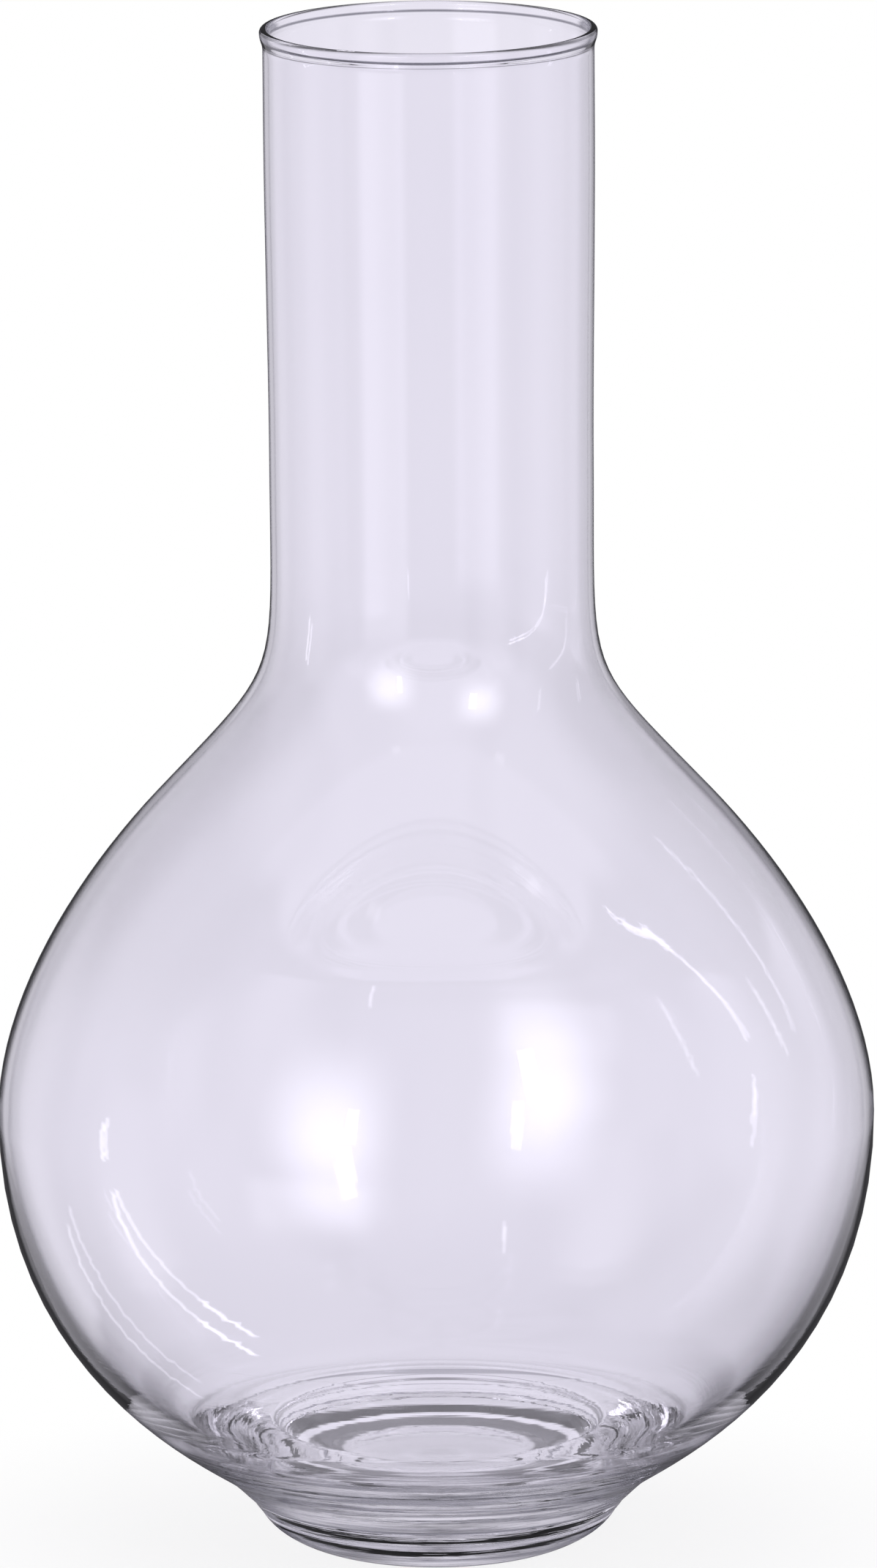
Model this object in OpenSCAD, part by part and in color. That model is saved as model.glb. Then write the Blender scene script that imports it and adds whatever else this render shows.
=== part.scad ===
// Flower vase of clear blown glass: a wide bulb, a straight neck and a heavy foot.
// Millimetres, +Z up, with the origin at the middle of the resting face.
// Each outline is a chain of smooth curves between stations: a diameter, a height and a lean.
// A lean is the angle between the outline and the vertical, in degrees.

/* [Overall] */
// Height from the resting face to the top of the lip
height = 400; // [370:1:460]

/* [Neck and lip] */
// Outer diameter of the neck just under the lip
mouth_d = 85.3; // [82:0.1:94]
// Outer diameter of the neck at its narrowest
waist_d = 83.7; // [78:0.1:90]
// Height of the narrowest place
waist_height = 288; // [260:1:310]
// Wall of the neck
neck_wall = 1.35; // [1.2:0.05:2.5]
// Length of the straight stretch of the neck below the lip, with its truly cylindrical bore
mouth_length = 22; // [10:1:45]
// Thickness of the round bead that fire polishing leaves on the lip
lip_bead_d = 2.3; // [1.8:0.1:4]
// How far the bead stands into the bore
lip_inset = 0.1; // [0.05:0.01:0.2]

/* [Bulb] */
// Largest outer diameter
bulb_d = 227.4; // [190:0.1:260]
// Height of the largest diameter
bulb_height = 115; // [100:1:130]
// Wall at the largest diameter
bulb_wall = 2.4; // [1.8:0.1:5]
// Outer diameter where the shoulder turns from convex to concave
shoulder_d = 145.5; // [120:0.5:165]
// Height of that turn
shoulder_height = 198; // [185:1:215]
// Lean of the outline there
shoulder_lean = 43; // [30:1:50]
// Wall of the shoulder
shoulder_wall = 1.7; // [1.3:0.1:4]
// Outer diameter of the underside where the bulb leaves the fillet above the foot
underside_d = 113; // [104:0.5:120]
// Height of that place
underside_height = 20; // [17:0.5:24]
// Lean of the outline there
underside_lean = 55; // [45:1:60]
// Wall of the basin, where the side of the bulb turns in towards the bottom
basin_wall = 4.2; // [3.5:0.1:6]
// Wall further down, where the inside flattens out over the foot
shelf_wall = 3.2; // [2.6:0.1:4.2]
// Diameter of the edge round the sunken inner floor
well_d = 86.4; // [80:0.2:92]
// Height of that edge
well_height = 30; // [28.6:0.1:31.5]
// Height of the inner floor: the glass below it is solid
floor_height = 27.3; // [25:0.1:28.5]
// Diameter of the level part of the inner floor
floor_d = 59; // [40:1:66]

/* [Foot] */
// Outer diameter of the foot at its top, where it is fused to the bulb
foot_d = 93.2; // [88:0.1:98]
// Height of the foot
foot_height = 10.2; // [8:0.1:13]
// Lean of the side of the foot at that seam
seam_lean = 35; // [20:1:45]
// Outer diameter of the ring that the vase rests on
rest_d = 56.4; // [50:0.2:64]
// Diameter of the shallow hollow under the foot
hollow_d = 47; // [30:1:48]
// Depth of that hollow
hollow_depth = 0.5; // [0.3:0.1:3]
// Slope of the hollow at its edge
hollow_lean = 8; // [4:1:20]

/* [Hidden] */
$fn = 128;
glass_tint = "lavender";
curve_steps = 18;

// Handles of each curve at its lower and its upper end, as shares of the curve's chord
heel_shares = [0.10, 0.42];
fillet_shares = [0.33, 0.33];
belly_shares = [0.10, 0.59];
dome_shares = [0.31, 0.33];
throat_shares = [0.53, 0.64];
neck_shares = [0.28, 0.30];
well_shares = [0.48, 0.27];
shelf_shares = [0.40, 0.40];
basin_shares = [0.33, 0.33];
flank_shares = [0.31, 0.38];
hollow_shares = [0.40, 0.30];

// Stations of the outside, from the hollow under the foot to the mouth
hollow_centre = [0, hollow_depth];
hollow_edge = [hollow_d / 2, 0];
rest_station = [rest_d / 2, 0];
seam_station = [foot_d / 2, foot_height];
underside_station = [underside_d / 2, underside_height];
bulb_station = [bulb_d / 2, bulb_height];
shoulder_station = [shoulder_d / 2, shoulder_height];
waist_station = [waist_d / 2, waist_height];
lip_centre_height = height - lip_bead_d / 2;
mouth_foot_height = height - lip_bead_d - mouth_length;
mouth_foot = [mouth_d / 2, mouth_foot_height];
mouth_top = [mouth_d / 2, lip_centre_height];

// Stations of the inside
bore_r = mouth_d / 2 - neck_wall;
bore_top = [bore_r, lip_centre_height];
bore_foot = [bore_r, mouth_foot_height];
inner_waist = waist_station - [neck_wall, 0];
inner_shoulder = shoulder_station - shoulder_wall * [cos(shoulder_lean), sin(shoulder_lean)];
inner_bulb = bulb_station - [bulb_wall, 0];
well_edge = [well_d / 2, well_height];
floor_edge = [floor_d / 2, floor_height];
floor_centre = [0, floor_height];

// Where the basin's and the shelf's stations lie along the belly outside them
basin_share = 0.43;
shelf_share = 0.27;

// By how many degrees they lean more than the belly there
basin_flare = 2.5;
shelf_flare = 1.1;

// Leans of the inside above the edge of the sunken floor and below it
well_top_lean = 73;
well_side_lean = 7;

// Unit direction of an outline that climbs with a given lean, outwards if positive
function climb(lean) = [sin(lean), cos(lean)];

// The two handles of a smooth curve from station a with lean la to station b with lean lb
function handles(a, la, b, lb, shares) =
    [a + shares[0] * norm(b - a) * climb(la), b - shares[1] * norm(b - a) * climb(lb)];

// Point at share t of a curve between a and b with handles h
function point_at(a, h, b, t) =
    let (s = 1 - t)
    s * s * s * a + 3 * s * s * t * h[0] + 3 * s * t * t * h[1] + t * t * t * b;

// Lean of that curve at share t
function lean_at(a, h, b, t) =
    let (s = 1 - t, step = s * s * (h[0] - a) + 2 * s * t * (h[1] - h[0]) + t * t * (b - h[1]))
    atan2(step[0], step[1]);

// Points of one smooth curve after its start
function curve(a, la, b, lb, shares) =
    let (h = handles(a, la, b, lb, shares))
    [for (i = [1 : curve_steps]) point_at(a, h, b, i / curve_steps)];

function reversed(points) = [for (i = [len(points) - 1 : -1 : 0]) points[i]];

// Place and lean on the belly, and the place one wall inside it
belly_handles = handles(underside_station, underside_lean, bulb_station, 0, belly_shares);
function belly_point(share) = point_at(underside_station, belly_handles, bulb_station, share);
function belly_lean(share) = lean_at(underside_station, belly_handles, bulb_station, share);
function inside_belly(share, wall) =
    belly_point(share) - wall * [cos(belly_lean(share)), -sin(belly_lean(share))];

inner_basin = inside_belly(basin_share, basin_wall);
inner_basin_lean = belly_lean(basin_share) + basin_flare;
inner_shelf = inside_belly(shelf_share, shelf_wall);
inner_shelf_lean = belly_lean(shelf_share) + shelf_flare;

// Outside of the blown vessel, upwards from the seam to the lip
function vessel_outside() = concat(
    [seam_station],
    curve(seam_station, seam_lean, underside_station, underside_lean, fillet_shares),
    curve(underside_station, underside_lean, bulb_station, 0, belly_shares),
    curve(bulb_station, 0, shoulder_station, -shoulder_lean, dome_shares),
    curve(shoulder_station, -shoulder_lean, waist_station, 0, throat_shares),
    curve(waist_station, 0, mouth_foot, 0, neck_shares),
    [mouth_top]);

// Inside of the vessel, upwards from the middle of the floor to the lip
function vessel_inside() = concat(
    [floor_centre, floor_edge],
    curve(floor_edge, 90, well_edge, well_side_lean, well_shares),
    curve(well_edge, well_top_lean, inner_shelf, inner_shelf_lean, shelf_shares),
    curve(inner_shelf, inner_shelf_lean, inner_basin, inner_basin_lean, basin_shares),
    curve(inner_basin, inner_basin_lean, inner_bulb, 0, flank_shares),
    curve(inner_bulb, 0, inner_shoulder, -shoulder_lean, dome_shares),
    curve(inner_shoulder, -shoulder_lean, inner_waist, 0, throat_shares),
    curve(inner_waist, 0, bore_foot, 0, neck_shares),
    [bore_top]);

// Round bead on the lip, a little proud of the neck's wall on both sides
module lip_bead() {
    rotate_extrude()
        translate([bore_r - lip_inset + lip_bead_d / 2, lip_centre_height])
            circle(d = lip_bead_d);
}

// Bulb, shoulder and neck, blown from one gather of glass, with the lip fire polished
module vessel() {
    color(glass_tint) {
        rotate_extrude()
            polygon(concat([[0, foot_height]], vessel_outside(), reversed(vessel_inside())));
        lip_bead();
    }
}

// Solid foot from a gather of its own, fused to the bulb at a level seam
module foot() {
    color(glass_tint)
        rotate_extrude()
            polygon(concat(
                [hollow_centre],
                curve(hollow_centre, 90, hollow_edge, 90 + hollow_lean, hollow_shares),
                [rest_station],
                curve(rest_station, 90, seam_station, seam_lean, heel_shares),
                [[0, foot_height]]));
}

vessel();
foot();
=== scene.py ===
# %% [markdown]
# A flower vase of clear blown glass with a faint lilac cast.
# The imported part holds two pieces: the blown vessel and the solid foot that is fused under it.
# Glass shows everything that a facet does to light, so both pieces are turned again here, finely,
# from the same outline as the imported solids, and nothing else in the part is moved or resized.

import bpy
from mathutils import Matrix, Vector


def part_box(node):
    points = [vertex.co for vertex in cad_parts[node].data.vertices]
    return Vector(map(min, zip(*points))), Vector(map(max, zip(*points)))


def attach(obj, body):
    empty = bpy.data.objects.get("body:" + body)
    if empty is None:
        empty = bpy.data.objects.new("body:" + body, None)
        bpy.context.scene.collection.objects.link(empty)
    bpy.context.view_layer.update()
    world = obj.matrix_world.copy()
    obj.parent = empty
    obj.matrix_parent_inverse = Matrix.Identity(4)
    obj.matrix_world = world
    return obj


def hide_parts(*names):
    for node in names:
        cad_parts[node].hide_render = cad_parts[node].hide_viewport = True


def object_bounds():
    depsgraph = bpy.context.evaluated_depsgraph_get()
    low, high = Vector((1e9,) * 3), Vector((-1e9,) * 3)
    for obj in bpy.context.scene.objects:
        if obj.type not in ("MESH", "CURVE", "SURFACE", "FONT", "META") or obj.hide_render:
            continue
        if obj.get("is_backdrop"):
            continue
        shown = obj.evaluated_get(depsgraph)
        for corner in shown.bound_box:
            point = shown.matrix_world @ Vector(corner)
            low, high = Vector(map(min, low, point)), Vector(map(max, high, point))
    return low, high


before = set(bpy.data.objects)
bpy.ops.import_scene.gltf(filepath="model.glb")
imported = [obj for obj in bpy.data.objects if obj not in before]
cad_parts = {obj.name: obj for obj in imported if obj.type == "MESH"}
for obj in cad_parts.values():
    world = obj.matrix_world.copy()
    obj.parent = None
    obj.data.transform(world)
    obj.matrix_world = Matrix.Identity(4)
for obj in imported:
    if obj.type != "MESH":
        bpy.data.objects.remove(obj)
cad_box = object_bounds()
print("packed nodes:", sorted(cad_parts))

# %% Tools of the lesson
import math

import bmesh
import bpy
from mathutils import Matrix, Vector

MM = 0.001
FULL_TURN = 2 * math.pi
print("Blender", bpy.app.version_string)

# %% [markdown]
# The camera stands at the photograph's viewing angle, a long way off with a long lens, so that the
# straight neck shows no perspective. The scale is the number of pixels of a photograph 2143 pixels
# high that a metre covers at the vase. The picture leans a little, which the roll follows.

# %% Camera
PHOTO_HEIGHT = 2143
PIXELS_PER_METRE = 5279
SENSOR_WIDTH = 36
CAMERA_DISTANCE = 4.8
LOOK_DOWN = math.radians(11.585)
AIM = Vector((0, 0, 0.20154))
ROLL = math.radians(-0.42)
SHIFT_RIGHT = 0.003

camera = bpy.data.objects.new("camera", bpy.data.cameras.new("camera"))
bpy.context.collection.objects.link(camera)
bpy.context.scene.camera = camera
to_camera = Vector((0, -math.cos(LOOK_DOWN), math.sin(LOOK_DOWN)))
camera.location = AIM + to_camera * CAMERA_DISTANCE
facing = (-to_camera).to_track_quat("-Z", "Y").to_matrix() @ Matrix.Rotation(ROLL, 3, "Z")
camera.rotation_euler = facing.to_euler()
camera.data.sensor_width = SENSOR_WIDTH
camera.data.lens = SENSOR_WIDTH * PIXELS_PER_METRE * CAMERA_DISTANCE / PHOTO_HEIGHT
camera.data.shift_x = SHIFT_RIGHT
print("lens", round(camera.data.lens, 1), "mm at", [round(c, 3) for c in camera.location])

# %% [markdown]
# A glassblower shapes the vase on a turning pipe, so its form is one outline turned about an axis.
# The outline could be a list of points, but a designer draws it as a few stations with smooth
# curves between them. A station is a place on the outline, in radius and height, and the lean is
# the angle between the outline and the vertical there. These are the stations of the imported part.
# Two small forms are added here: a shallow crease above the foot, and a swelling under the lip.

# %% Stations of the outline
HEIGHT = 400 * MM
MOUTH_R, WAIST_R, WAIST_Z = 42.65 * MM, 41.85 * MM, 288 * MM
NECK_WALL, MOUTH_LENGTH = 1.35 * MM, 22 * MM
BEAD_D, BEAD_INSET = 2.3 * MM, 0.1 * MM
BULB_R, BULB_Z, BULB_WALL = 113.7 * MM, 115 * MM, 2.4 * MM
SHOULDER_R, SHOULDER_Z, SHOULDER_WALL = 72.75 * MM, 198 * MM, 1.7 * MM
SHOULDER_LEAN = math.radians(43)
UNDERSIDE_R, UNDERSIDE_Z, UNDERSIDE_LEAN = 56.5 * MM, 20 * MM, math.radians(55)
BASIN_WALL, BASIN_SHARE, BASIN_FLARE = 4.2 * MM, 0.43, math.radians(2.5)
SHELF_WALL, SHELF_SHARE, SHELF_FLARE = 3.2 * MM, 0.27, math.radians(1.1)
WELL_R, WELL_Z, FLOOR_R, FLOOR_Z = 43.2 * MM, 30 * MM, 29.5 * MM, 27.3 * MM
WELL_TOP_LEAN, WELL_SIDE_LEAN = math.radians(73), math.radians(7)
SEAM_R, SEAM_Z, SEAM_LEAN = 46.6 * MM, 10.2 * MM, math.radians(35)
REST_R, HOLLOW_R, HOLLOW_DEPTH = 28.2 * MM, 23.5 * MM, 0.5 * MM
HOLLOW_LEAN = math.radians(98)
LEVEL = math.radians(90)
STRAIGHT_DOWN = 2 * LEVEL
CREASE_SHARE, CREASE_HALF, CREASE_DEPTH = 0.27, 0.45 * MM, 0.4 * MM
CREASE_TURN, SEAM_TURN = math.radians(8), math.radians(6)
print("height", round(HEIGHT / MM, 1), "mm, largest diameter", round(2 * BULB_R / MM, 1), "mm")

# %% [markdown]
# Blender's Bezier splines hold exactly such stations: a knot is the place, and its two handles say
# how the curve leaves and arrives. Each handle is a share of the straight distance between two
# knots. The spline is made into a row of short edges, and the edges are spun about the Z axis.

# %% Drawing an outline
HEEL_SHARES, FILLET_SHARES, BELLY_SHARES = (0.10, 0.42), (0.33, 0.33), (0.10, 0.59)
DOME_SHARES, THROAT_SHARES, NECK_SHARES = (0.31, 0.33), (0.53, 0.64), (0.28, 0.30)
WELL_SHARES, SHELF_SHARES, BASIN_SHARES = (0.48, 0.27), (0.40, 0.40), (0.33, 0.33)
FLANK_SHARES, HOLLOW_SHARES = (0.31, 0.38), (0.40, 0.30)
SWELL_SHARES = (0.45, 0.45)
ROUND_SHARE = 0.5523  # of the radius: makes a quarter of a circle
THIRD = 1 / 3


def climb(lean):
    """Unit direction of an outline that climbs with this lean, outwards if positive."""
    return Vector((math.sin(lean), math.cos(lean)))


def begin(place):
    """An outline of one station: its place and the two handles."""
    return [[place, place, place]]


def bend(outline, lean_from, place, lean_to, shares):
    """Adds a smooth stretch to the outline, from the last station to this one."""
    chord = (place - outline[-1][0]).length
    outline[-1][2] = outline[-1][0] + climb(lean_from) * chord * shares[0]
    outline.append([place, place - climb(lean_to) * chord * shares[1], place])


def last_bend(outline):
    """Start, two handles and end of the stretch that was added last."""
    return outline[-2][0], outline[-2][2], outline[-1][1], outline[-1][0]


def place_on(start, leaving, arriving, end, share):
    """A place on a smooth stretch, and the lean there."""
    rest = 1 - share
    place = start * rest**3 + leaving * 3 * rest**2 * share + arriving * 3 * rest * share**2 + end * share**3
    step = (leaving - start) * rest**2 + (arriving - leaving) * 2 * rest * share + (end - arriving) * share**2
    return place, math.atan2(step.x, step.y)


def straight(outline, place):
    """Adds a straight stretch to the outline."""
    last = outline[-1]
    last[2] = last[0].lerp(place, THIRD)
    outline.append([place, place.lerp(last[0], THIRD), place])


def quarter(outline, lean_from, place, lean_to):
    """Adds a quarter of a circle, which leaves and arrives square to its radii."""
    radius = abs(place.x - outline[-1][0].x)
    outline[-1][2] = outline[-1][0] + climb(lean_from) * radius * ROUND_SHARE
    outline.append([place, place - climb(lean_to) * radius * ROUND_SHARE, place])


# %% [markdown]
# The vessel's outline runs from the middle of the seam with the foot up the outside. The crease
# lies on the fillet above the seam: the fillet is drawn once to find the place and the lean there,
# taken away again, and drawn in two halves that turn in to the crease.

# %% Outside of the vessel
seam = Vector((SEAM_R, SEAM_Z))
underside = Vector((UNDERSIDE_R, UNDERSIDE_Z))
bulb = Vector((BULB_R, BULB_Z))
shoulder = Vector((SHOULDER_R, SHOULDER_Z))
waist = Vector((WAIST_R, WAIST_Z))
mouth_foot = Vector((MOUTH_R, HEIGHT - BEAD_D - MOUTH_LENGTH))

vessel_outline = begin(Vector((0, SEAM_Z)))
straight(vessel_outline, seam)
bend(vessel_outline, SEAM_LEAN, underside, UNDERSIDE_LEAN, FILLET_SHARES)
crease, fillet_lean = place_on(*last_bend(vessel_outline), CREASE_SHARE)
inwards = Vector((-math.cos(fillet_lean), math.sin(fillet_lean)))
half_crease = climb(fillet_lean) * CREASE_HALF
vessel_outline.pop()
bend(vessel_outline, SEAM_LEAN + SEAM_TURN, crease - half_crease, fillet_lean - CREASE_TURN, FILLET_SHARES)
straight(vessel_outline, crease + inwards * CREASE_DEPTH)
straight(vessel_outline, crease + half_crease)
bend(vessel_outline, fillet_lean + CREASE_TURN, underside, UNDERSIDE_LEAN, FILLET_SHARES)
bend(vessel_outline, UNDERSIDE_LEAN, bulb, 0, BELLY_SHARES)
belly = last_bend(vessel_outline)
bend(vessel_outline, 0, shoulder, -SHOULDER_LEAN, DOME_SHARES)
bend(vessel_outline, -SHOULDER_LEAN, waist, 0, THROAT_SHARES)
bend(vessel_outline, 0, mouth_foot, 0, NECK_SHARES)
print("crease at", [round(c / MM, 1) for c in crease], "mm")

# %% [markdown]
# The lip was held in a flame until surface tension drew it into a round bead, so the wall swells
# into the bead without a corner. The bead could be a ring laid on the wall, but a ring would show
# a groove at each side that melted glass doesn't have.

# %% Lip
SWELL_HEIGHT = 2 * BEAD_D
BORE_R = MOUTH_R - NECK_WALL
bead_r = BEAD_D / 2
bead = Vector((BORE_R - BEAD_INSET + bead_r, HEIGHT - bead_r))
swell_z = bead.y - SWELL_HEIGHT

straight(vessel_outline, Vector((MOUTH_R, swell_z)))
bend(vessel_outline, 0, bead + Vector((bead_r, 0)), 0, SWELL_SHARES)
quarter(vessel_outline, 0, bead + Vector((0, bead_r)), -LEVEL)
quarter(vessel_outline, -LEVEL, bead - Vector((bead_r, 0)), STRAIGHT_DOWN)
bend(vessel_outline, STRAIGHT_DOWN, Vector((BORE_R, swell_z)), STRAIGHT_DOWN, SWELL_SHARES)
straight(vessel_outline, Vector((BORE_R, mouth_foot.y)))
print("bead", round(BEAD_D / MM, 1), "mm across, centred at", [round(c / MM, 2) for c in bead], "mm")

# %% [markdown]
# Inside, each station lies one wall in from the outside. Two of them follow the belly: they are
# found on the belly's own curve, and set in square to it by the wall. Below them the inside
# flattens into a shelf and drops over an edge to the sunken floor of solid glass. The outline goes
# down here, so each lean is turned half round, and each pair of shares is read backwards.

# %% Inside of the vessel


def inside_belly(share, wall):
    """The place one wall inside the belly, and the belly's lean there."""
    on_belly, lean = place_on(*belly, share)
    return on_belly - Vector((math.cos(lean), -math.sin(lean))) * wall, lean


def bend_down(lean_from, place, lean_to, shares):
    """Adds a smooth stretch to the inside, with the leans and shares of its way up."""
    bend(vessel_outline, STRAIGHT_DOWN + lean_from, place, STRAIGHT_DOWN + lean_to, shares[::-1])


basin, basin_lean = inside_belly(BASIN_SHARE, BASIN_WALL)
shelf, shelf_lean = inside_belly(SHELF_SHARE, SHELF_WALL)
basin_lean += BASIN_FLARE
shelf_lean += SHELF_FLARE
square_in = Vector((math.cos(SHOULDER_LEAN), math.sin(SHOULDER_LEAN)))

bend_down(0, waist - Vector((NECK_WALL, 0)), 0, NECK_SHARES)
bend_down(0, shoulder - square_in * SHOULDER_WALL, -SHOULDER_LEAN, THROAT_SHARES)
bend_down(-SHOULDER_LEAN, bulb - Vector((BULB_WALL, 0)), 0, DOME_SHARES)
bend_down(0, basin, basin_lean, FLANK_SHARES)
bend_down(basin_lean, shelf, shelf_lean, BASIN_SHARES)
bend_down(shelf_lean, Vector((WELL_R, WELL_Z)), WELL_TOP_LEAN, SHELF_SHARES)
bend_down(WELL_SIDE_LEAN, Vector((FLOOR_R, FLOOR_Z)), LEVEL, WELL_SHARES)
straight(vessel_outline, Vector((0, FLOOR_Z)))
print("vessel outline:", len(vessel_outline), "stations; basin at", [round(c / MM, 1) for c in basin])

# %% [markdown]
# The foot is a gather of its own, pressed on while hot and flattened. It is solid, with a shallow
# hollow under it, so that it stands on a ring and doesn't rock.

# %% Outline of the foot
foot_outline = begin(Vector((0, HOLLOW_DEPTH)))
bend(foot_outline, LEVEL, Vector((HOLLOW_R, 0)), HOLLOW_LEAN, HOLLOW_SHARES)
straight(foot_outline, Vector((REST_R, 0)))
bend(foot_outline, LEVEL, seam, SEAM_LEAN - SEAM_TURN, HEEL_SHARES)
straight(foot_outline, Vector((0, SEAM_Z)))
print("foot outline:", len(foot_outline), "stations")

# %% [markdown]
# Spinning is what the glassblower's bench does. The outline could be a Screw modifier on an edge,
# but a bmesh spin leaves plain geometry that can be marked afterwards. The first and the last ring
# are merged, and so are the points on the axis, so that each piece is one closed shell.

# %% Spinning
STEPS_PER_STRETCH = 20
STEPS_ROUND = 192
MERGE = 1e-7


def outline_edges(outline):
    """The outline as a mesh of short edges in the XZ plane."""
    curve = bpy.data.curves.new("outline", "CURVE")
    curve.dimensions = "3D"
    curve.resolution_u = STEPS_PER_STRETCH
    spline = curve.splines.new("BEZIER")
    spline.bezier_points.add(len(outline) - 1)
    for knot, (place, before, after) in zip(spline.bezier_points, outline):
        knot.handle_left_type = knot.handle_right_type = "FREE"
        knot.co = (place.x, 0, place.y)
        knot.handle_left = (before.x, 0, before.y)
        knot.handle_right = (after.x, 0, after.y)
    holder = bpy.data.objects.new("outline", curve)
    mesh = bpy.data.meshes.new_from_object(holder)
    bpy.data.objects.remove(holder)
    bpy.data.curves.remove(curve)
    return mesh


def turned(outline):
    """A bmesh of the outline spun once round the Z axis, closed and facing outwards."""
    edges = outline_edges(outline)
    turning = bmesh.new()
    turning.from_mesh(edges)
    bpy.data.meshes.remove(edges)
    bmesh.ops.spin(
        turning, geom=turning.verts[:] + turning.edges[:], cent=(0, 0, 0), axis=(0, 0, 1),
        angle=FULL_TURN, steps=STEPS_ROUND, use_merge=True)
    bmesh.ops.remove_doubles(turning, verts=turning.verts, dist=MERGE)
    bmesh.ops.recalc_face_normals(turning, faces=turning.faces)
    return turning


vessel_shape = turned(vessel_outline)
foot_shape = turned(foot_outline)
print("faces:", len(vessel_shape.faces), "on the vessel,", len(foot_shape.faces), "on the foot")

# %% [markdown]
# Materials, world and floor are all built from nodes. A few helpers keep that short. They make a
# node, fill its sockets and give back its output, so that a formula reads from the inside out.

# %% Node helpers


def new_group(name, inputs, outputs):
    """A shader node group with these sockets, all of them plain numbers."""
    group = bpy.data.node_groups.new(name, "ShaderNodeTree")
    for side, labels in (("INPUT", inputs), ("OUTPUT", outputs)):
        for label in labels:
            group.interface.new_socket(label, in_out=side, socket_type="NodeSocketFloat")
    return group


def add(tree, kind, **settings):
    """A new node with these settings."""
    made = tree.nodes.new(kind)
    for name, value in settings.items():
        setattr(made, name, value)
    return made


def feed(tree, socket, value):
    """Puts a number, a colour or another node's output into a socket."""
    if isinstance(value, bpy.types.NodeSocket):
        tree.links.new(value, socket)
    else:
        socket.default_value = value


def maths(tree, operation, *values, clamp=False):
    """The output of a Math node."""
    made = add(tree, "ShaderNodeMath", operation=operation, use_clamp=clamp)
    for socket, value in zip(made.inputs, values):
        feed(tree, socket, value)
    return made.outputs[0]


def product(tree, first, *others):
    """All of the values multiplied."""
    for other in others:
        first = maths(tree, "MULTIPLY", first, other)
    return first


def highest(tree, first, *others):
    """The highest of the values."""
    for other in others:
        first = maths(tree, "MAXIMUM", first, other)
    return first


def distance(tree, one, other):
    """How far two values are apart."""
    return maths(tree, "ABSOLUTE", maths(tree, "SUBTRACT", one, other))


def fade(tree, value, start, end, low=0.0, high=1.0):
    """A smooth step from low to high while value goes from start to end."""
    made = add(tree, "ShaderNodeMapRange", interpolation_type="SMOOTHSTEP")
    labels = ("Value", "From Min", "From Max", "To Min", "To Max")
    for label, given in zip(labels, (value, start, end, low, high)):
        feed(tree, made.inputs[label], given)
    return made.outputs["Result"]


def blended(tree, share, low, high, kind="FLOAT"):
    """A number between low and high, or with the kind RGBA a colour."""
    made = add(tree, "ShaderNodeMix", data_type=kind)
    for label, given in (("Factor", share), ("A", low), ("B", high)):
        feed(tree, made.inputs[label], given)
    return made.outputs["Result"]


def cloudy(tree, place, scale, detail):
    """A cloudy number round a half, from a noise texture."""
    made = add(tree, "ShaderNodeTexNoise")
    for label, given in (("Vector", place), ("Scale", scale), ("Detail", detail)):
        feed(tree, made.inputs[label], given)
    return made.outputs["Fac"]


def parts_of(tree, vector):
    """The X, Y and Z of a vector."""
    made = add(tree, "ShaderNodeSeparateXYZ")
    tree.links.new(vector, made.inputs[0])
    return made.outputs


def object_place(tree):
    """Object coordinates."""
    return add(tree, "ShaderNodeTexCoord").outputs["Object"]


def radius_of(tree, x, y):
    """How far a place is from the Z axis."""
    return maths(tree, "SQRT", maths(tree, "ADD", product(tree, x, x), product(tree, y, y)))


def mirrored(tree, path):
    """1 for a ray that has only been mirrored by the glass, and 0 for one that went through it."""
    return maths(tree, "SUBTRACT", path["Is Glossy Ray"], path["Is Transmission Ray"], clamp=True)


# %% [markdown]
# The surroundings of glass make its look. A photographer of glass hangs a white screen behind it
# and leaves the room dark beside it: what is straight behind the vase shows white through it, and
# the edges, which bend light most, catch the dark and draw the outline. Here the screens are in
# the world shader, one for each side that the vase is looked at from. All angles are in degrees,
# and the light of a screen is 1.

# %% Screens in the world
HALF_CIRCLE = 180.0
SCREENS = (0.0, -45.0, -90.0, 135.0)
SIDE_SCREEN_FOOT = (-31.0, -38.0)
SCREEN_COLOUR = (0.86, 0.838, 0.92, 1)
GAP_END = (19.0, 25.0)


def wrapped(tree, angle):
    """The same angle between minus and plus half a circle."""
    return maths(tree, "WRAP", angle, HALF_CIRCLE, -HALF_CIRCLE)


def directions(tree):
    """Azimuth from +Y towards +X, and elevation, in degrees, of what a ray looks at."""
    east, north, up = parts_of(tree, add(tree, "ShaderNodeTexCoord").outputs["Generated"])
    azimuth = product(tree, maths(tree, "ARCTAN2", east, north), math.degrees(1))
    elevation = product(tree, maths(tree, "ARCSINE", up), math.degrees(1))
    return azimuth, elevation


world = bpy.data.worlds.new("studio")
bpy.context.scene.world = world
world.use_nodes = True
sky = world.node_tree
sky.nodes.clear()
path = add(sky, "ShaderNodeLightPath").outputs
azimuth, elevation = directions(sky)
main_aside, *side_asides = [wrapped(sky, maths(sky, "SUBTRACT", azimuth, screen)) for screen in SCREENS]
main_off = maths(sky, "ABSOLUTE", main_aside)
nearest = main_off
below_side_foot = fade(sky, elevation, *SIDE_SCREEN_FOOT, 0.0, GAP_END[1])
for aside in side_asides:
    off = maths(sky, "ADD", maths(sky, "ABSOLUTE", aside), below_side_foot)
    nearest = maths(sky, "MINIMUM", nearest, off)
print("screens at azimuths", SCREENS)

# %% [markdown]
# From the middle of a screen the light falls off to a dark gap, and past the gap comes the room.
# Both are darker towards the floor, where hardly anything is lit. The sky above is pale, but the
# part of it that shows through the glass over a screen is dimmer. The mirror images of the main
# screen are held down too, or the edges of the glass would shine white instead of going dark.

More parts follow.
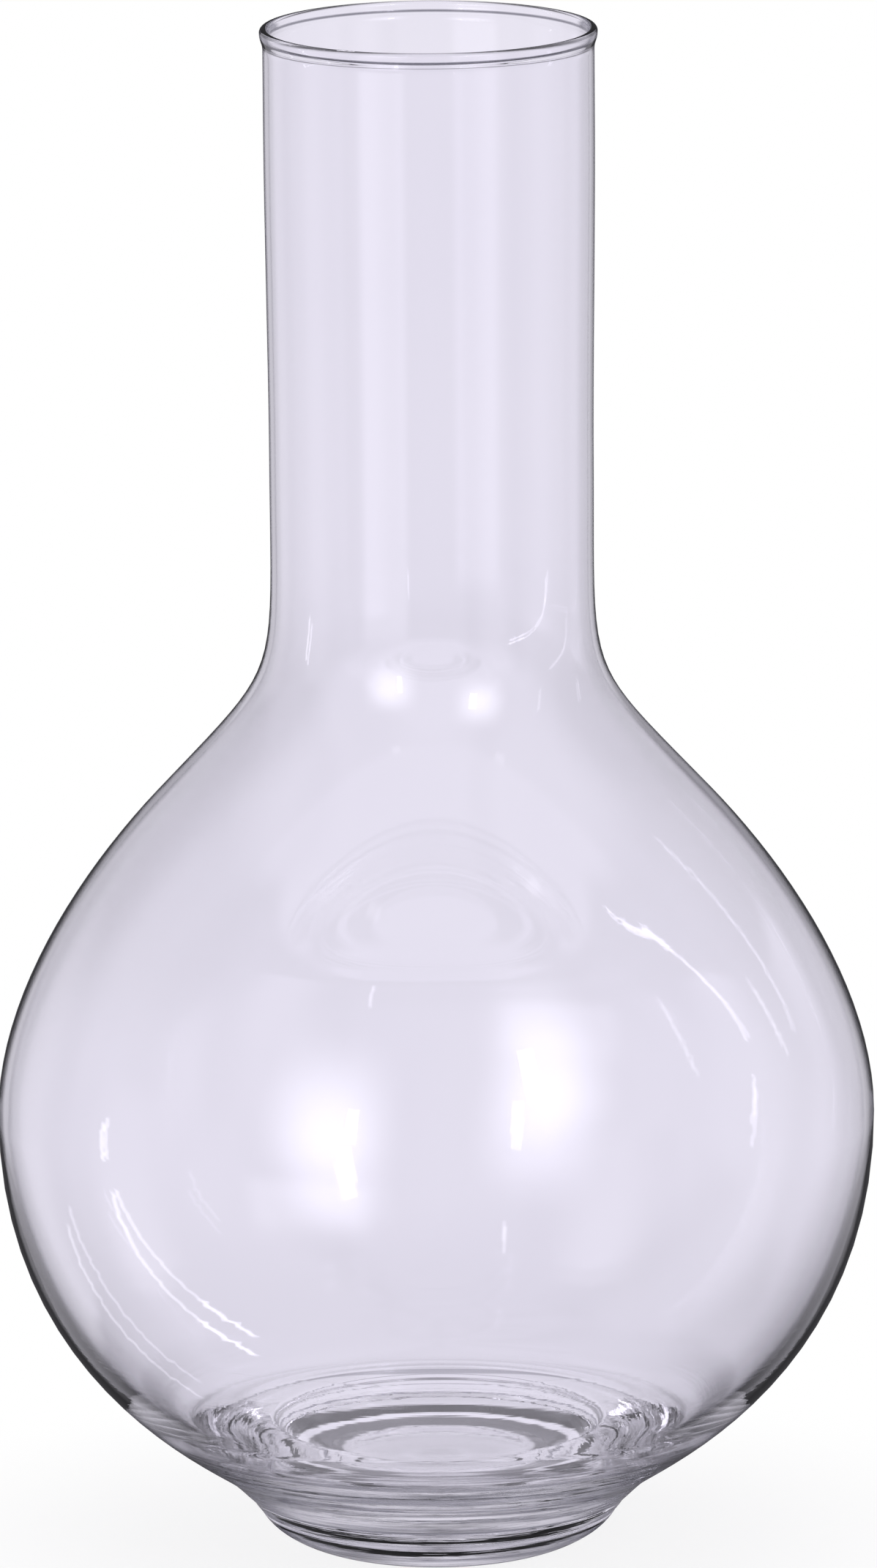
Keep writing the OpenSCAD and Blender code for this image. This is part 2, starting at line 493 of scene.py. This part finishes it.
# %% Light between the screens, above and below
SCREEN_FALL = (2.0, 17.0)
GAP_RISE, GAP_LIGHT, SIDE_SHARES = (-40.0, -6.0), (0.09, 0.62), (1.1, 0.8)
ROOM_LIGHT = (0.04, 0.75)
SKY_RISE, SKY_LIGHT = (4.0, 14.0), 0.8
SCREEN_TOP, SKY_THROUGH = (6.0, 16.0), 0.35
SCREEN_FOOT, SCREEN_FOOT_LIGHT = (-52.0, -66.0), 0.7
REFLECTED_SCREEN_HALF, REFLECTED_SCREEN_TOP = (16.0, 22.0), (25.0, 50.0)
REFLECTED_SCREEN_LIGHT = 0.08

gap = fade(sky, elevation, *GAP_RISE, *GAP_LIGHT)
gap = product(sky, gap, fade(sky, main_aside, -SCREEN_FALL[0], SCREEN_FALL[0], *SIDE_SHARES))
room = fade(sky, elevation, *GAP_RISE, *ROOM_LIGHT)
light = blended(sky, fade(sky, nearest, *SCREEN_FALL), 1.0, gap)
light = blended(sky, fade(sky, nearest, *GAP_END), light, room)
over_screen = product(sky, fade(sky, elevation, *SCREEN_TOP), fade(sky, nearest, *SCREEN_FALL, 1.0, 0.0))
seen_through = product(sky, path["Is Transmission Ray"], over_screen)
light = blended(
    sky, fade(sky, elevation, *SKY_RISE), light, blended(sky, seen_through, SKY_LIGHT, SKY_THROUGH))
light = blended(sky, fade(sky, elevation, *SCREEN_FOOT), light, SCREEN_FOOT_LIGHT)
on_screen = product(
    sky, fade(sky, main_off, *REFLECTED_SCREEN_HALF, 1.0, 0.0),
    fade(sky, elevation, *REFLECTED_SCREEN_TOP, 1.0, 0.0))
light = blended(sky, product(sky, on_screen, mirrored(sky, path)), light, REFLECTED_SCREEN_LIGHT)
print("light of the gap", GAP_LIGHT, "and of the room", ROOM_LIGHT)

# %% [markdown]
# Windows and lamps show as small bright forms on the glass. Each is a panel in the world with soft
# edges: two strips with a glow round them, ribbons that follow the side of the bulb, and thin
# streaks. The photograph gives the place of each one, and the mirror law gives its direction.

# %% Panels of light
WOBBLES_PER_DEGREE, MEAN_NOISE = 0.12, 0.5
PANEL_SOCKETS = ("Azimuth", "Elevation", "Half width", "Half height", "Edge", "Light", "Wobble", "Curve")
RIBBON_CURVE = -0.0105
PANELS = {
    "left strip": (-156.9, 16.6, 1.4, 4.5, 0.4, 5.0),
    "right strip": (151.7, 29.9, 2.4, 5.3, 0.4, 5.0),
    "left glow": (-150.0, 19.0, 1.0, 1.0, 22.0, 3.6),
    "right glow": (146.0, 31.0, 1.0, 1.0, 22.0, 3.6),
    "neck band": (-146.0, -12.0, 12.0, 4.0, 8.0, 0.9),
    "upper ribbon": (-82.0, -3.0, 0.3, 4.5, 1.0, 4.0, 2.0, RIBBON_CURVE),
    "lower ribbon": (-82.0, -33.0, 0.3, 17.5, 1.0, 4.0, 2.0, RIBBON_CURVE),
    "ribbon end": (-82.0, -46.0, 0.9, 5.0, 0.9, 5.0, 6.0, RIBBON_CURVE),
    "far left streak": (-60.0, -36.0, 0.2, 15.0, 1.2, 1.8, 3.0),
    "right streak": (101.5, 26.0, 0.2, 7.0, 0.9, 1.6, 2.0),
    "far right streak": (67.0, 15.0, 0.2, 5.0, 0.8, 1.6, 2.0),
    "low glint": (162.0, -21.0, 0.2, 3.0, 0.6, 3.0),
    "upper left glint": (-146.0, 62.0, 3.0, 0.5, 1.5, 0.7),
    "upper right glint": (121.0, 61.0, 3.0, 0.5, 1.5, 0.7),
}


def panel_group():
    """A group that gives the light of one soft-edged panel, seen from the vase."""
    group = new_group("panel of light", PANEL_SOCKETS, ("Light",))
    given = add(group, "NodeGroupInput").outputs
    azimuth, elevation = directions(group)
    waver = add(group, "ShaderNodeTexNoise", noise_dimensions="1D")
    feed(group, waver.inputs["W"], product(group, elevation, WOBBLES_PER_DEGREE))
    waver = product(group, maths(group, "SUBTRACT", waver.outputs["Fac"], MEAN_NOISE), given["Wobble"])
    middle = maths(group, "ADD", given["Azimuth"], product(group, elevation, elevation, given["Curve"]))
    aside = maths(group, "SUBTRACT", maths(group, "ADD", azimuth, waver), middle)
    aside = maths(group, "ABSOLUTE", wrapped(group, aside))
    above = distance(group, elevation, given["Elevation"])
    across = maths(group, "SUBTRACT", aside, given["Half width"])
    upright = maths(group, "SUBTRACT", above, given["Half height"])
    within = [fade(group, past, 0.0, given["Edge"], 1.0, 0.0) for past in (across, upright)]
    group.links.new(product(group, *within, given["Light"]), add(group, "NodeGroupOutput").inputs["Light"])
    return group


panel = panel_group()
for name, values in PANELS.items():
    lamp = add(sky, "ShaderNodeGroup", node_tree=panel, label=name)
    for label, value in zip(PANEL_SOCKETS, values):
        lamp.inputs[label].default_value = value
    light = maths(sky, "ADD", light, lamp.outputs["Light"])
print(len(PANELS), "panels of light")

# %% [markdown]
# The camera itself sees plain white, as in a picture that was cut out. Everything that the glass
# mirrors or lets through has the screen's pale lilac.

# %% Backdrop
WHITE = (1, 1, 1, 1)
backdrop = add(sky, "ShaderNodeBackground")
seen = path["Is Camera Ray"]
feed(sky, backdrop.inputs["Color"], blended(sky, seen, SCREEN_COLOUR, WHITE, "RGBA"))
feed(sky, backdrop.inputs["Strength"], blended(sky, seen, light, 1.0))
sky.links.new(backdrop.outputs[0], add(sky, "ShaderNodeOutputWorld").inputs["Surface"])
print("world:", len(sky.nodes), "nodes")

# %% [markdown]
# The floor is a plain pale table top, with the vase's soft shadow on it. Glass gathers light into
# bright and dark rings on a table, and the thick bottom of the vase bends the view down to them, so
# they show as arcs inside the vase. Such rings take very many samples to render. So they are painted
# on the far half of the table, for the glass alone: the camera sees the table plain. Beyond a strip
# behind the vase, and far out, the glass sees the world's dark gaps and not the table.

# %% Floor
TABLE_HALF, TABLE_GAP = 900 * MM, 0.1 * MM
TABLE_COLOUR = (0.86, 0.86, 0.87, 1)
SHADOW_SHARE, SHADOW_FADE = 0.15, (60 * MM, 180 * MM)
UNDER_FOOT_LIGHT, MIRRORED_TABLE_LIGHT = 1.0, 0.25
TABLE_RINGS = (
    (24.5 * MM, 26 * MM, 0.22), (34.5 * MM, 36 * MM, 1.2), (38.5 * MM, 40 * MM, 0.0),
    (46.2 * MM, 48.2 * MM, 1.0))
RINGS_FROM_Y = (-22 * MM, -4 * MM)
TABLE_SEEN_R, STRIP_HALF = (95 * MM, 105 * MM), (48 * MM, 58 * MM)


def table_seen_by_glass(tree, path, x, y, out):
    """A glowing disc with rings, which fades to nothing beyond its edge and beside the strip."""
    under = UNDER_FOOT_LIGHT
    for start, end, ring_light in TABLE_RINGS:
        under = blended(tree, fade(tree, out, start, end), under, ring_light)
    under = blended(tree, fade(tree, y, *RINGS_FROM_Y), UNDER_FOOT_LIGHT, under)
    dimmed = blended(tree, mirrored(tree, path), 1.0, MIRRORED_TABLE_LIGHT)
    disc = add(tree, "ShaderNodeEmission")
    feed(tree, disc.inputs["Color"], SCREEN_COLOUR)
    feed(tree, disc.inputs["Strength"], product(tree, under, dimmed))
    beyond = add(tree, "ShaderNodeMixShader")
    off_strip = fade(tree, maths(tree, "ABSOLUTE", x), *STRIP_HALF)
    feed(tree, beyond.inputs[0], highest(tree, fade(tree, out, *TABLE_SEEN_R), off_strip))
    tree.links.new(disc.outputs[0], beyond.inputs[1])
    tree.links.new(add(tree, "ShaderNodeBsdfTransparent").outputs[0], beyond.inputs[2])
    return beyond.outputs[0]


def table_material():
    """White with a soft shadow for the camera, and the ringed disc for the glass."""
    material = bpy.data.materials.new("pale table top")
    material.use_nodes = True
    tree = material.node_tree
    tree.nodes.clear()
    x, y, _ = parts_of(tree, object_place(tree))
    out = radius_of(tree, x, y)
    path = add(tree, "ShaderNodeLightPath").outputs
    matte = add(tree, "ShaderNodeBsdfDiffuse")
    feed(tree, matte.inputs["Color"], TABLE_COLOUR)
    shown = add(tree, "ShaderNodeMixShader")
    feed(tree, shown.inputs[0], fade(tree, out, *SHADOW_FADE, SHADOW_SHARE, 0.0))
    tree.links.new(add(tree, "ShaderNodeEmission").outputs[0], shown.inputs[1])
    tree.links.new(matte.outputs[0], shown.inputs[2])
    table = add(tree, "ShaderNodeMixShader")
    feed(tree, table.inputs[0], highest(tree, path["Is Glossy Ray"], path["Is Transmission Ray"]))
    tree.links.new(shown.outputs[0], table.inputs[1])
    tree.links.new(table_seen_by_glass(tree, path, x, y, out), table.inputs[2])
    tree.links.new(table.outputs[0], add(tree, "ShaderNodeOutputMaterial").inputs["Surface"])
    return material


table_shape = bmesh.new()
bmesh.ops.create_grid(table_shape, x_segments=1, y_segments=1, size=TABLE_HALF)
bmesh.ops.translate(table_shape, verts=table_shape.verts, vec=(0, 0, -TABLE_GAP))
table_mesh = bpy.data.meshes.new("table_top")
table_shape.to_mesh(table_mesh)
table_shape.free()
table_mesh.materials.append(table_material())
table = bpy.data.objects.new("table_top", table_mesh)
bpy.context.collection.objects.link(table)
table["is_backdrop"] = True
print("table", 2 * TABLE_HALF, "m wide,", len(TABLE_RINGS), "edges of rings")

# %% [markdown]
# Glass is a Principled shader with full transmission. Its lilac cast is like that of a trace of
# manganese in the melt. Effects that both glasses share are node groups. The first one gives the
# uneven depth of the cast.

# %% Cast of the melt
CLOUDS_PER_METRE, CLOUD_DETAIL = 14.0, 2.0


def cast_group():
    """The lilac cast of the melt, a little deeper and cooler in badly mixed glass."""
    group = new_group("lilac cast", ("Depth",), ("Mask",))
    given = add(group, "NodeGroupInput").outputs
    cloud = cloudy(group, object_place(group), CLOUDS_PER_METRE, CLOUD_DETAIL)
    group.links.new(product(group, cloud, given["Depth"]), add(group, "NodeGroupOutput").inputs["Mask"])
    return group


lilac_cast = cast_group()
print("cast group:", len(lilac_cast.nodes), "nodes")

# %% [markdown]
# The second group holds what the tools leave, and masks for painted shade low on the sides. Fine
# lines run round the glass near the base, and slow waves lie in the whole wall. Both are far too
# shallow for geometry: they only tilt the surface. The lines are cloudy noise, stretched round the
# axis. They stay on the outside, which is told from the inside by a cone between the two, and off
# the bottom of the foot. Low on the sides the same noise also masks dark streaks, which are painted
# shade, and the low part of the outside is given for a painted dark edge.

# %% Marks of the making, and masks of painted shade
LINE_SCALES, LINE_SCALE, LINE_DETAIL = (22.0, 22.0, 700.0), 1.0, 3.0
WAVES_PER_METRE, WAVE_DETAIL = 18.0, 1.0
INSIDE_R, INSIDE_SLOPE, BELOW_INSIDE, HEEL_R = 42 * MM, 0.917, 26 * MM, 31 * MM
FULL_LINES_SHARE = 0.3
STRONG_LINES, WEAK_LINES = (30 * MM, 38 * MM), 0.12
CREASE_R = 40 * MM
# Where the streaks of painted shade lie: low on the sides, and where the line noise is high.
STREAK_TOP, STREAK_NOISE = (28 * MM, 44 * MM), (0.36, 0.6)


def marks_and_shade_group():
    """Height of the marks in millimetres, the low part of the outside, and its streaks of painted shade."""
    group = new_group("marks and painted shade", ("Lines", "Top of lines", "Waves"), ("Height", "Low", "Streaks"))
    given = add(group, "NodeGroupInput").outputs
    place = object_place(group)
    x, y, z = parts_of(group, place)
    out = radius_of(group, x, y)
    past_cone = maths(group, "SUBTRACT", out, product(group, z, INSIDE_SLOPE))
    outside = highest(
        group, maths(group, "GREATER_THAN", past_cone, INSIDE_R), maths(group, "LESS_THAN", z, BELOW_INSIDE))
    outside = product(group, outside, maths(group, "GREATER_THAN", out, HEEL_R))
    stretch = add(group, "ShaderNodeMapping")
    feed(group, stretch.inputs["Vector"], place)
    feed(group, stretch.inputs["Scale"], LINE_SCALES)
    lines = cloudy(group, stretch.outputs["Vector"], LINE_SCALE, LINE_DETAIL)
    top = given["Top of lines"]
    strength = product(
        group, fade(group, z, product(group, top, FULL_LINES_SHARE), top, 1.0, 0.0), outside,
        fade(group, z, *STRONG_LINES, 1.0, WEAK_LINES))
    fine = product(group, lines, given["Lines"], strength)
    waves = product(group, cloudy(group, place, WAVES_PER_METRE, WAVE_DETAIL), given["Waves"])
    low = product(
        group, fade(group, z, *STREAK_TOP, 1.0, 0.0), maths(group, "GREATER_THAN", out, CREASE_R), outside)
    made = add(group, "NodeGroupOutput").inputs
    group.links.new(maths(group, "ADD", fine, waves), made["Height"])
    group.links.new(low, made["Low"])
    group.links.new(product(group, low, fade(group, lines, *STREAK_NOISE)), made["Streaks"])
    return group


marks = marks_and_shade_group()
print("marks group:", len(marks.nodes), "nodes")

# %% [markdown]
# The edges of the glass are dark in the photograph, and refraction alone leaves them too pale here,
# so a dark tint takes over at a grazing angle: this is painted shade. The same tint paints thin
# lines of shade round the creases above the foot and under the bead on the lip. The bead is so small
# that its edge would vanish, so its glass counts as more grazing than it is, and more of it is
# painted dark. Painted streaks of shade and a painted dark low edge count only where a ray enters
# the glass, so the far side of the vase stays clear.

# %% Painted shade: dark edges, creases and streaks
# The dark tint of painted shade, and the facings between which the edges turn to it.
PAINTED_SHADE_TINT, EDGE_FACING = (0.18, 0.18, 0.21, 1), (0.83, 0.93)
# Near the lip the glass counts this much more grazing, so that more of the bead's edge is painted dark.
LIP_FROM, LIP_FACING = (397.2 * MM, 397.8 * MM), 0.22
CREASE_CORE = 0.5
# Painted lines of shade round the lower bulb and under the bead: the height, the half width and the strength
# of each.
PAINTED_SHADE_LINES = (
    (13.9 * MM, 0.6 * MM, 1.0), (20.2 * MM, 0.35 * MM, 0.8), (16.4 * MM, 0.2 * MM, 0.3),
    (9.6 * MM, 0.2 * MM, 0.35), (397.45 * MM, 0.36 * MM, 0.9))
# How strongly the streaks are painted dark, by how far the glass faces sideways.
STREAK_FACING, STREAK_SHARES = (0.35, 0.7), (0.5, 1.0)
# From this facing on, the low part of the outside is painted dark.
LOW_EDGE_FACING = (0.62, 0.82)


def painted_shade(tree, made):
    """How far the glass goes over to the dark tint of painted shade."""
    x, y, z = parts_of(tree, object_place(tree))
    lip = fade(tree, z, *LIP_FROM, 0.0, LIP_FACING)
    facing = maths(tree, "ADD", add(tree, "ShaderNodeLayerWeight").outputs["Facing"], lip)
    on_side = maths(tree, "GREATER_THAN", radius_of(tree, x, y), CREASE_R)
    dark = fade(tree, facing, *EDGE_FACING)
    for height, half, strength in PAINTED_SHADE_LINES:
        line = fade(tree, distance(tree, z, height), half * CREASE_CORE, half, strength, 0.0)
        dark = highest(tree, dark, product(tree, line, on_side))
    # Painted streaks of shade and a painted dark low edge, only where a ray enters the glass.
    near_side = maths(tree, "SUBTRACT", 1.0, add(tree, "ShaderNodeNewGeometry").outputs["Backfacing"])
    shaded_streaks = product(
        tree, made.outputs["Streaks"], near_side, fade(tree, facing, *STREAK_FACING, *STREAK_SHARES))
    painted_low_edge = product(tree, fade(tree, facing, *LOW_EDGE_FACING), made.outputs["Low"], near_side)
    return highest(tree, dark, shaded_streaks, painted_low_edge)


print(len(PAINTED_SHADE_LINES), "dark lines at heights", [round(line[0] / MM, 1) for line in PAINTED_SHADE_LINES], "mm")

# %% [markdown]
# The vessel and the foot are two gathers, so they have a glass each. The foot's is a little deeper,
# because it is solid. The two faces at the seam are fused: light goes on there as if nothing were
# between the pieces, and so their faces are fully clear.

# %% Glasses
IOR_OF_GLASS = 1.5
BLOWN_TINT, FOOT_TINT, DEEP_TINT = (0.985, 0.98, 0.998, 1), (0.975, 0.968, 0.99, 1), (0.84, 0.825, 0.895, 1)
BLOWN_CAST, FOOT_CAST = 0.3, 0.4
BLOWN_LINES_TOP, FOOT_LINES_TOP = 90 * MM, 40 * MM
LINE_HEIGHT, WAVE_HEIGHT = 0.12, 0.015


def glass(name, tint, depth, lines_top):
    """Clear glass with a cast and marks of its own."""
    material = bpy.data.materials.new(name)
    material.use_nodes = True
    tree = material.node_tree
    body = tree.nodes["Principled BSDF"]
    body.inputs["Roughness"].default_value = 0.0
    body.inputs["IOR"].default_value = IOR_OF_GLASS
    body.inputs["Transmission Weight"].default_value = 1.0
    cast = add(tree, "ShaderNodeGroup", node_tree=lilac_cast)
    feed(tree, cast.inputs["Depth"], depth)
    made = add(tree, "ShaderNodeGroup", node_tree=marks)
    for label, value in (("Lines", LINE_HEIGHT), ("Top of lines", lines_top), ("Waves", WAVE_HEIGHT)):
        feed(tree, made.inputs[label], value)
    clear = blended(tree, cast.outputs["Mask"], tint, DEEP_TINT, "RGBA")
    # Where shade is painted, the clear tint goes over to the dark tint.
    colour = blended(tree, painted_shade(tree, made), clear, PAINTED_SHADE_TINT, "RGBA")
    tree.links.new(colour, body.inputs["Base Color"])
    bump = add(tree, "ShaderNodeBump")
    feed(tree, bump.inputs["Strength"], 1.0)
    feed(tree, bump.inputs["Distance"], MM)
    tree.links.new(made.outputs["Height"], bump.inputs["Height"])
    tree.links.new(bump.outputs["Normal"], body.inputs["Normal"])
    return material


def seam_glass():
    """The two faces that are fused, fully clear."""
    material = bpy.data.materials.new("fused seam")
    material.use_nodes = True
    material.node_tree.nodes["Principled BSDF"].inputs["Alpha"].default_value = 0.0
    return material


blown_glass = glass("blown glass", BLOWN_TINT, BLOWN_CAST, BLOWN_LINES_TOP)
foot_glass = glass("foot glass", FOOT_TINT, FOOT_CAST, FOOT_LINES_TOP)
fused = seam_glass()
print("glasses:", [(made.name, len(made.node_tree.nodes)) for made in (blown_glass, foot_glass, fused)])

# %% [markdown]
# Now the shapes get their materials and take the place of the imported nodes. Each one is measured
# against the box of the node it stands for.

# %% Pieces
SEAM_LEVEL, SEAM_SLOT = 1e-6, 1
LOWEST_CORNER, HIGHEST_CORNER = 0, 6


def mark_seam(shape):
    """Gives the faces of the fused seam their own material."""
    count = 0
    for face in shape.faces:
        if all(abs(corner.co.z - SEAM_Z) < SEAM_LEVEL for corner in face.verts):
            face.material_index = SEAM_SLOT
            count += 1
    return count


def finished(name, shape, node, materials):
    """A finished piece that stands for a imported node."""
    mesh = bpy.data.meshes.new(name)
    shape.to_mesh(mesh)
    shape.free()
    mesh.shade_smooth()
    for material in materials:
        mesh.materials.append(material)
    piece = bpy.data.objects.new(name, mesh)
    bpy.context.collection.objects.link(piece)
    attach(piece, "root")
    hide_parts(node)
    return piece


print("seam faces:", mark_seam(vessel_shape), mark_seam(foot_shape))
vessel = finished("vessel_glass", vessel_shape, "vessel", [blown_glass, fused])
foot = finished("foot_glass", foot_shape, "foot", [foot_glass, fused])
for piece, node in ((vessel, "vessel"), (foot, "foot")):
    low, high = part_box(node)
    spun_low, spun_high = Vector(piece.bound_box[LOWEST_CORNER]), Vector(piece.bound_box[HIGHEST_CORNER])
    off = max((low - spun_low).length, (high - spun_high).length)
    print(piece.name, len(piece.data.polygons), "faces; off the packed box by", round(off / MM, 3), "mm")

# %% [markdown]
# A ray enters and leaves two walls, the thick bottom and the foot, and is mirrored inside them again
# and again. With too few bounces allowed, the thick bottom would turn black.

# %% Render settings that glass needs
GLOSSY_BOUNCES, TRANSMISSION_BOUNCES, MAX_BOUNCES = 12, 16, 20

cycles = bpy.context.scene.cycles
cycles.glossy_bounces = GLOSSY_BOUNCES
cycles.transmission_bounces = TRANSMISSION_BOUNCES
cycles.max_bounces = MAX_BOUNCES
bpy.context.scene.view_settings.view_transform = "Standard"
print("bounces:", cycles.max_bounces)

# %% Sizes
visual_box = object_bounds()
for label, box in (("packed", cad_box), ("visual", visual_box)):
    print(label, "box reaches to", [round(c / MM, 1) for c in box[1]], "mm")
